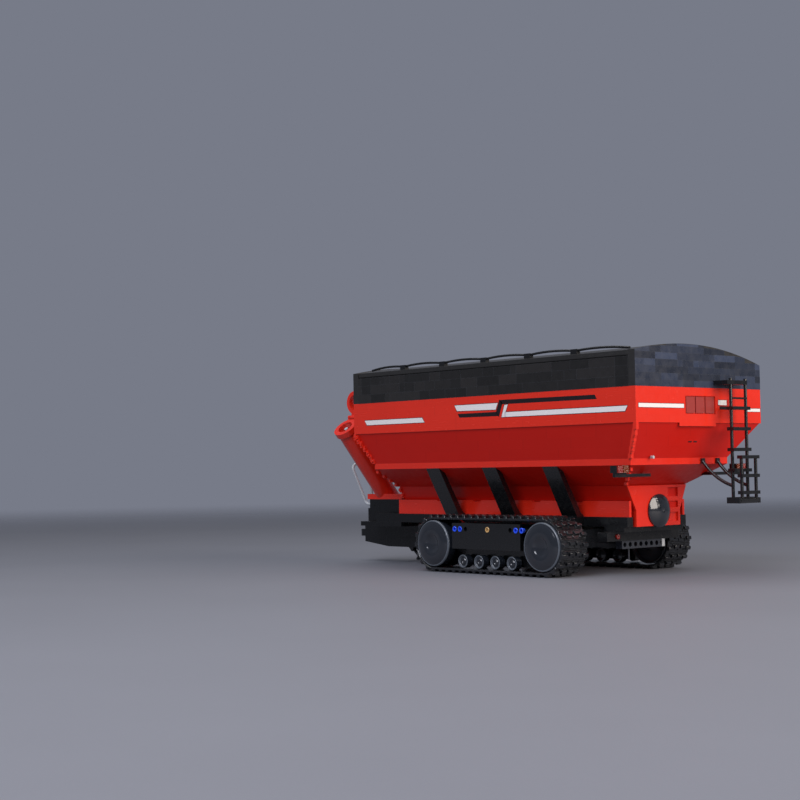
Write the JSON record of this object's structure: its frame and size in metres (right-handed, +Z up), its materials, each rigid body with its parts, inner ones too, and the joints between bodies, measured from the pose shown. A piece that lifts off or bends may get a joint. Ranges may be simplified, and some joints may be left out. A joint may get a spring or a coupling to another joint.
{
  "type": "grain cart",
  "caption": "Scale model of a tracked grain cart: sloped red hopper with a hinged roof, folding front auger, rocking tracks, drawbar, parking jack and rear ladder",
  "frame": {"origin": "on the ground, under the middle of the bounding box", "axes": "+X forward to the hitch, +Y to the cart's left, +Z up"},
  "size_m": [0.534, 0.1976, 0.2212],
  "materials": {
    "red_plastic": "gloss",
    "black_plastic": "gloss",
    "dark_plastic": "gloss",
    "dark_grey_plastic": "gloss",
    "light_grey_plastic": "gloss",
    "track_plastic": "matte",
    "blue_plastic": "gloss",
    "tan_plastic": "gloss",
    "clear_pane": "gloss",
    "amber_lens": "gloss",
    "red_lens": "gloss"
  },
  "bodies": {
    "cart": {"band_left": "red_plastic", "band_right": "red_plastic", "band_rear": "red_plastic", "band_front": "red_plastic", "slope_left": "red_plastic", "slope_right": "red_plastic", "slope_rear": "red_plastic", "slope_front": "red_plastic", "ridge_rail": "red_plastic", "lower_shell": "red_plastic", "sump_trough": "red_plastic", "sump_skirts": "red_plastic", "sump_rear_panel": "red_plastic", "corner_steps": "red_plastic", "lower_auger_tube": "red_plastic", "roof_boards": "dark_plastic", "frame_rails": "black_plastic", "cross_members": "black_plastic", "rear_crossbeam": "black_plastic", "drawbar": "black_plastic", "ribs": "black_plastic", "auger_boot": "black_plastic", "ladder": "black_plastic", "lamp_brackets": "black_plastic", "bearing_dish": "dark_grey_plastic", "perforated_arm": "dark_grey_plastic", "hydraulic_hose": "light_grey_plastic", "window_panes": "clear_pane", "lenses_amber": "amber_lens", "lenses_red": "red_lens"},
    "roof": {"roof_cover": "dark_plastic", "roof_hose_line": "black_plastic"},
    "upper_auger": {"upper_auger_tube": "red_plastic", "discharge_spout": "black_plastic"},
    "lower_screw": {"lower_auger_screw": "light_grey_plastic"},
    "upper_screw": {"upper_auger_screw": "light_grey_plastic"},
    "drive_line": {"sump_auger_screw": "light_grey_plastic", "pto_shaft": "light_grey_plastic"},
    "jack": {"parking_jack": "black_plastic"},
    "ladder_lower": {"ladder_fold": "black_plastic"},
    "track_left": {"track_frame_left": "black_plastic", "track_belt_left": "track_plastic", "plate_pins_left": "blue_plastic", "pivot_pin_left": "tan_plastic"},
    "idler_rear_left_body": {"idler_rear_left": "dark_grey_plastic"},
    "idler_front_left_body": {"idler_front_left": "dark_grey_plastic"},
    "road_wheel_1_left_body": {"road_wheel_1_left": "dark_grey_plastic"},
    "road_wheel_2_left_body": {"road_wheel_2_left": "dark_grey_plastic"},
    "road_wheel_3_left_body": {"road_wheel_3_left": "dark_grey_plastic"},
    "road_wheel_4_left_body": {"road_wheel_4_left": "dark_grey_plastic"},
    "track_right": {"track_frame_right": "black_plastic", "track_belt_right": "track_plastic", "plate_pins_right": "blue_plastic", "pivot_pin_right": "tan_plastic"},
    "idler_rear_right_body": {"idler_rear_right": "dark_grey_plastic"},
    "idler_front_right_body": {"idler_front_right": "dark_grey_plastic"},
    "road_wheel_1_right_body": {"road_wheel_1_right": "dark_grey_plastic"},
    "road_wheel_2_right_body": {"road_wheel_2_right": "dark_grey_plastic"},
    "road_wheel_3_right_body": {"road_wheel_3_right": "dark_grey_plastic"},
    "road_wheel_4_right_body": {"road_wheel_4_right": "dark_grey_plastic"}
  },
  "joints": [
    {"name": "roof_opens", "type": "hinge", "parent": "cart", "child": "roof", "pos_m": [0, 0.0924, 0.2096], "axis": [-1, 0, 0], "range_deg": [0, 94]},
    {"name": "auger_unfolds", "type": "hinge", "parent": "cart", "child": "upper_auger", "pos_m": [0.197, 0.07004, 0.1666], "axis": [-0.9988, -0.0322, -0.0379], "range_deg": [0, 130.8]},
    {"name": "lower_screw_turns", "type": "hinge", "parent": "cart", "child": "lower_screw", "pos_m": [0.197, 0.083, 0.1556], "axis": [-0.0497, 0.6462, 0.7615], "continuous": true},
    {"name": "upper_screw_turns", "type": "hinge", "parent": "upper_auger", "child": "upper_screw", "pos_m": [0.19636, 0.06988, 0.18359], "axis": [0.0325, -0.9994, -0.0078], "continuous": true},
    {"name": "drive_line_turns", "type": "hinge", "parent": "cart", "child": "drive_line", "pos_m": [0, 0, 0.061], "axis": [1, 0, 0], "continuous": true},
    {"name": "jack_folds", "type": "hinge", "parent": "cart", "child": "jack", "pos_m": [0.194, 0, 0.03], "axis": [0, 1, 0], "range_deg": [-3, 41]},
    {"name": "ladder_unfolds", "type": "hinge", "parent": "cart", "child": "ladder_lower", "pos_m": [-0.2625, -0.0385, 0.072], "axis": [0, -1, 0], "range_deg": [0, 170]},
    {"name": "track_left_rocks", "type": "hinge", "parent": "cart", "child": "track_left", "pos_m": [-0.0435, 0.079, 0.045], "axis": [0, 1, 0], "range_deg": [-4, 4]},
    {"name": "idler_rear_left_turns", "type": "hinge", "parent": "track_left", "child": "idler_rear_left_body", "pos_m": [-0.11835, 0.079, 0.0296], "axis": [0, 1, 0], "continuous": true},
    {"name": "idler_front_left_turns", "type": "hinge", "parent": "track_left", "child": "idler_front_left_body", "pos_m": [0.03775, 0.079, 0.0296], "axis": [0, 1, 0], "continuous": true},
    {"name": "road_wheel_1_left_turns", "type": "hinge", "parent": "track_left", "child": "road_wheel_1_left_body", "pos_m": [-0.0754, 0.079, 0.0122], "axis": [0, 1, 0], "continuous": true},
    {"name": "road_wheel_2_left_turns", "type": "hinge", "parent": "track_left", "child": "road_wheel_2_left_body", "pos_m": [-0.052, 0.079, 0.0122], "axis": [0, 1, 0], "continuous": true},
    {"name": "road_wheel_3_left_turns", "type": "hinge", "parent": "track_left", "child": "road_wheel_3_left_body", "pos_m": [-0.0286, 0.079, 0.0122], "axis": [0, 1, 0], "continuous": true},
    {"name": "road_wheel_4_left_turns", "type": "hinge", "parent": "track_left", "child": "road_wheel_4_left_body", "pos_m": [-0.0052, 0.079, 0.0122], "axis": [0, 1, 0], "continuous": true},
    {"name": "track_right_rocks", "type": "hinge", "parent": "cart", "child": "track_right", "pos_m": [-0.0435, -0.079, 0.045], "axis": [0, 1, 0], "range_deg": [-4, 4]},
    {"name": "idler_rear_right_turns", "type": "hinge", "parent": "track_right", "child": "idler_rear_right_body", "pos_m": [-0.11835, -0.079, 0.0296], "axis": [0, 1, 0], "continuous": true},
    {"name": "idler_front_right_turns", "type": "hinge", "parent": "track_right", "child": "idler_front_right_body", "pos_m": [0.03775, -0.079, 0.0296], "axis": [0, 1, 0], "continuous": true},
    {"name": "road_wheel_1_right_turns", "type": "hinge", "parent": "track_right", "child": "road_wheel_1_right_body", "pos_m": [-0.0754, -0.079, 0.0122], "axis": [0, 1, 0], "continuous": true},
    {"name": "road_wheel_2_right_turns", "type": "hinge", "parent": "track_right", "child": "road_wheel_2_right_body", "pos_m": [-0.052, -0.079, 0.0122], "axis": [0, 1, 0], "continuous": true},
    {"name": "road_wheel_3_right_turns", "type": "hinge", "parent": "track_right", "child": "road_wheel_3_right_body", "pos_m": [-0.0286, -0.079, 0.0122], "axis": [0, 1, 0], "continuous": true},
    {"name": "road_wheel_4_right_turns", "type": "hinge", "parent": "track_right", "child": "road_wheel_4_right_body", "pos_m": [-0.0052, -0.079, 0.0122], "axis": [0, 1, 0], "continuous": true}
  ],
  "couplings": [
    {"joint": "lower_screw_turns", "follows": "drive_line_turns", "ratio": 1},
    {"joint": "idler_front_left_turns", "follows": "idler_rear_left_turns", "ratio": 1},
    {"joint": "road_wheel_1_left_turns", "follows": "idler_rear_left_turns", "ratio": 3.5588},
    {"joint": "road_wheel_2_left_turns", "follows": "idler_rear_left_turns", "ratio": 3.5588},
    {"joint": "road_wheel_3_left_turns", "follows": "idler_rear_left_turns", "ratio": 3.5588},
    {"joint": "road_wheel_4_left_turns", "follows": "idler_rear_left_turns", "ratio": 3.5588},
    {"joint": "idler_front_right_turns", "follows": "idler_rear_right_turns", "ratio": 1},
    {"joint": "road_wheel_1_right_turns", "follows": "idler_rear_right_turns", "ratio": 3.5588},
    {"joint": "road_wheel_2_right_turns", "follows": "idler_rear_right_turns", "ratio": 3.5588},
    {"joint": "road_wheel_3_right_turns", "follows": "idler_rear_right_turns", "ratio": 3.5588},
    {"joint": "road_wheel_4_right_turns", "follows": "idler_rear_right_turns", "ratio": 3.5588}
  ]
}
